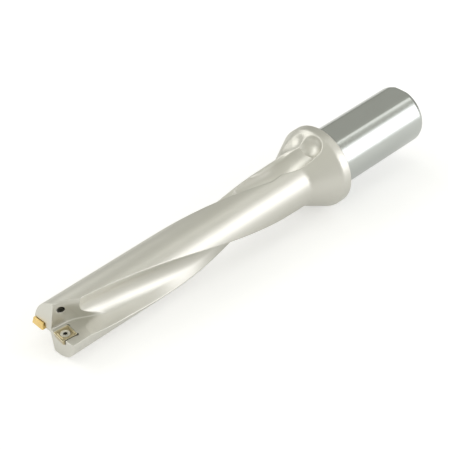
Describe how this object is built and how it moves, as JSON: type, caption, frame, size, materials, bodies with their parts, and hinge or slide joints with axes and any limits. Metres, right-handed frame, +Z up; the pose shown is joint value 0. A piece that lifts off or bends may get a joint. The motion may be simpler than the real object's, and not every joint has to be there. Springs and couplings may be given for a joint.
{
  "type": "indexable drill",
  "caption": "indexable insert drill with a cylindrical flatted shank, a conical collar, a twisted fluted body and square inserts held by screws at the tip",
  "frame": {"origin": "the middle of the bounding box, on the surface that the drill lies on", "axes": "+X runs from the cutting tip to the shank's end, +Z is up, and the shank's flat faces up; the drill lies on its collar's rim and on the lower side of its tip, so its own axis rises 2.7 degrees toward the shank"},
  "size_m": [0.1904, 0.0344, 0.0345],
  "materials": {
    "body_steel": "satin nickel-plated steel, ground on the shank",
    "insert_coating": "gold titanium nitride coating on carbide",
    "screw_steel": "bright steel screw heads"
  },
  "bodies": {
    "root": {"drill_body": "body_steel", "centre_insert": "insert_coating", "outer_insert": "insert_coating", "centre_insert_screw": "screw_steel", "outer_insert_screw": "screw_steel"}
  },
  "joints": []
}
